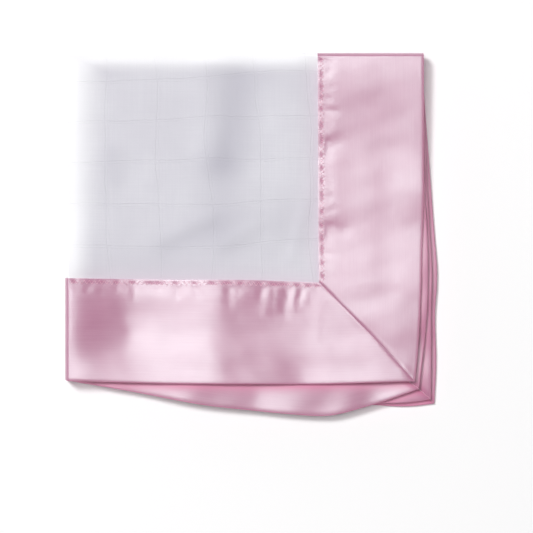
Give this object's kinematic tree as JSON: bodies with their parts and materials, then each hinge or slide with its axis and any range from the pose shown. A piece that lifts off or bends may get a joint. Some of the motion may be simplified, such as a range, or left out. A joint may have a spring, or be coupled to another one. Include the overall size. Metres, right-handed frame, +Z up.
{
  "type": "comfort blanket",
  "caption": "Soft comfort blanket of white muslin with a wide satin border and mitred corners, folded in quarters and able to unfold flat",
  "frame": {"origin": "middle of the underside of the folded blanket, on the floor that it lies on", "axes": "+Z up through the four layers; +X from the left fold to the free side edge; +Y from the free near edge to the far fold"},
  "size_m": [0.2094, 0.2044, 0.0136],
  "materials": {
    "satin": "smooth pink satin with a soft sheen",
    "muslin": "thin white windowpane muslin, matt",
    "thread": "deeper pink sewing thread"
  },
  "bodies": {
    "quarter_1": {"quarter_1_muslin_front": "muslin", "quarter_1_muslin_back": "muslin", "quarter_1_side_binding": "satin", "quarter_1_end_binding": "satin", "quarter_1_side_stitches_front": "thread", "quarter_1_side_stitches_back": "thread", "quarter_1_end_stitches_front": "thread", "quarter_1_end_stitches_back": "thread", "quarter_1_mitre_seam": "thread"},
    "quarter_2": {"quarter_2_muslin_front": "muslin", "quarter_2_muslin_back": "muslin", "quarter_2_side_binding": "satin", "quarter_2_end_binding": "satin", "quarter_2_side_stitches_front": "thread", "quarter_2_side_stitches_back": "thread", "quarter_2_end_stitches_front": "thread", "quarter_2_end_stitches_back": "thread", "quarter_2_mitre_seam": "thread"},
    "quarter_3": {"quarter_3_muslin_front": "muslin", "quarter_3_muslin_back": "muslin", "quarter_3_side_binding": "satin", "quarter_3_end_binding": "satin", "quarter_3_side_stitches_front": "thread", "quarter_3_side_stitches_back": "thread", "quarter_3_end_stitches_front": "thread", "quarter_3_end_stitches_back": "thread", "quarter_3_mitre_seam": "thread"},
    "quarter_4": {"quarter_4_muslin_front": "muslin", "quarter_4_muslin_back": "muslin", "quarter_4_side_binding": "satin", "quarter_4_end_binding": "satin", "quarter_4_side_stitches_front": "thread", "quarter_4_side_stitches_back": "thread", "quarter_4_end_stitches_front": "thread", "quarter_4_end_stitches_back": "thread", "quarter_4_mitre_seam": "thread"}
  },
  "joints": [
    {"name": "second_fold", "type": "hinge", "parent": "quarter_3", "child": "quarter_2", "pos_m": [-0.10481, 0, 0.0059], "axis": [0, -1, 0], "range_deg": [0, 180]},
    {"name": "first_fold_upper", "type": "hinge", "parent": "quarter_2", "child": "quarter_1", "pos_m": [0, 0.10237, 0.009], "axis": [-1, 0, 0], "range_deg": [0, 180]},
    {"name": "first_fold_lower", "type": "hinge", "parent": "quarter_3", "child": "quarter_4", "pos_m": [0, 0.10237, 0.0028], "axis": [1, 0, 0], "range_deg": [0, 180]}
  ],
  "couplings": [
    {"joint": "first_fold_lower", "follows": "first_fold_upper", "ratio": 1}
  ]
}
